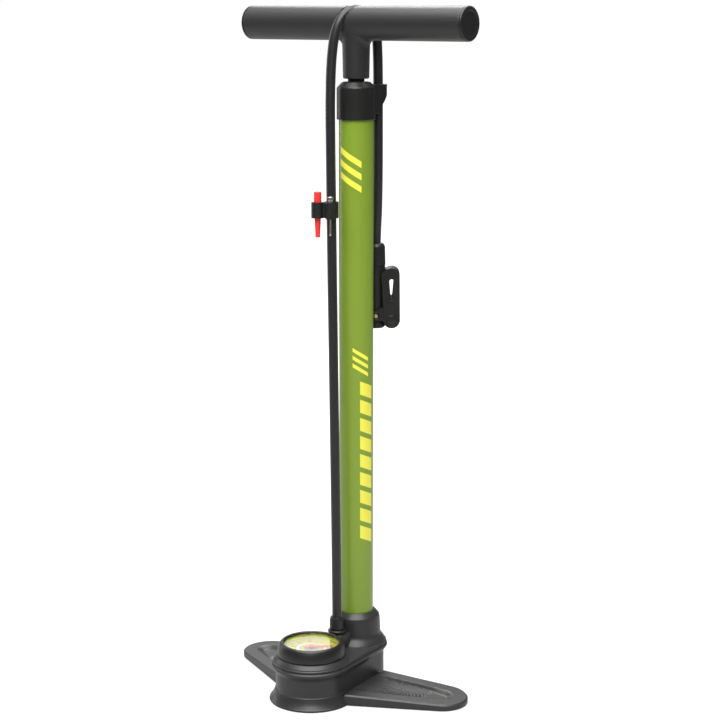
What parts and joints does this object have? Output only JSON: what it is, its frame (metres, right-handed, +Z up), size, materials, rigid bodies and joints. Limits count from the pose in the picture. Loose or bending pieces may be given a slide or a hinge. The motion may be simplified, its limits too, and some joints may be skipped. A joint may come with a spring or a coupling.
{
  "type": "floor bike pump",
  "caption": "Upright floor pump: steel barrel on a winged foot, T handle on a sliding rod, pressure gauge, hose parked over the handle, lever valve head.",
  "frame": {"origin": "on the floor under the barrel's axis, at the centre of the rear rubber pad's bottom face", "axes": "+Z up along the barrel; the gauge stands in front at -Y; the foot's wings and the handle lie along X"},
  "size_m": [0.282, 0.1775, 0.698],
  "materials": {
    "green_paint": "satin powder coat",
    "dark_nylon": "fine moulded texture",
    "black_nylon": "satin moulded",
    "grip_rubber": "soft touch",
    "hose_rubber": "smooth",
    "seal_rubber": "matt",
    "steel": "bright",
    "brass": "machined",
    "acetal": "natural",
    "dial_print": "printed",
    "lime_plastic": "moulded",
    "clear_lens": "polished clear plastic",
    "red_plastic": "moulded"
  },
  "bodies": {
    "base": {"base_casting": "dark_nylon", "foot_pad_rear": "seal_rubber", "foot_pad_front": "seal_rubber", "foot_pad_left": "seal_rubber", "foot_pad_right": "seal_rubber", "base_screw_left": "steel", "base_screw_right": "steel", "barrel_tube": "green_paint", "barrel_gasket": "seal_rubber", "foot_valve_body": "acetal", "check_spring": "steel", "top_cap": "black_nylon", "guide_bush": "acetal", "cap_wiper": "seal_rubber", "gauge_can": "brass", "gauge_movement": "brass", "bourdon_tube": "brass", "gauge_dial": "dial_print", "dial_ring": "lime_plastic", "gauge_lens": "clear_lens", "gauge_bezel": "black_nylon", "hose_nipple": "black_nylon", "hose_washer": "seal_rubber", "hose_nut": "black_nylon", "hose": "hose_rubber", "hose_clip": "black_nylon", "hose_ferrule": "black_nylon", "head_body": "black_nylon", "head_nose_cap": "black_nylon", "head_gasket": "seal_rubber", "lever_pin": "brass"},
    "handle": {"handle_bar": "grip_rubber", "handle_end_cap_left": "black_nylon", "handle_end_cap_right": "black_nylon", "handle_bolt": "steel", "piston_rod": "steel", "rod_bumper": "seal_rubber", "piston": "acetal", "piston_seal": "seal_rubber", "piston_nut": "steel"},
    "needle": {"gauge_needle": "red_plastic"},
    "lever": {"head_lever": "black_nylon"},
    "cone": {"cone_adapter": "red_plastic"},
    "ball_adapter": {"ball_needle": "steel"},
    "valve_ball": {"check_ball": "steel"}
  },
  "joints": [
    {"name": "pump_stroke", "type": "slide", "parent": "base", "child": "handle", "axis": [0, 0, 1], "range_m": [0, 0.53], "deforming": ["hose"]},
    {"name": "gauge_needle_turn", "type": "hinge", "parent": "base", "child": "needle", "pos_m": [0, -0.077, 0.0535], "axis": [0, 0, -1], "range_deg": [0, 270], "stiffness_Nm_per_rad": 0.0005},
    {"name": "head_lever_turn", "type": "hinge", "parent": "base", "child": "lever", "pos_m": [0, 0.0342, 0.3842], "axis": [-0.5948, 0.8039, 0], "range_deg": [0, 84]},
    {"name": "cone_lift", "type": "slide", "parent": "base", "child": "cone", "axis": [0, 0, 1], "range_m": [0, 0.06]},
    {"name": "ball_needle_lift", "type": "slide", "parent": "base", "child": "ball_adapter", "axis": [0, 0, 1], "range_m": [0, 0.05]},
    {"name": "check_ball_travel", "type": "slide", "parent": "base", "child": "valve_ball", "axis": [0, 0, -1], "range_m": [0, 0.0025], "stiffness_N_per_m": 60, "springref_m": -0.004, "deforming": ["check_spring"]}
  ]
}
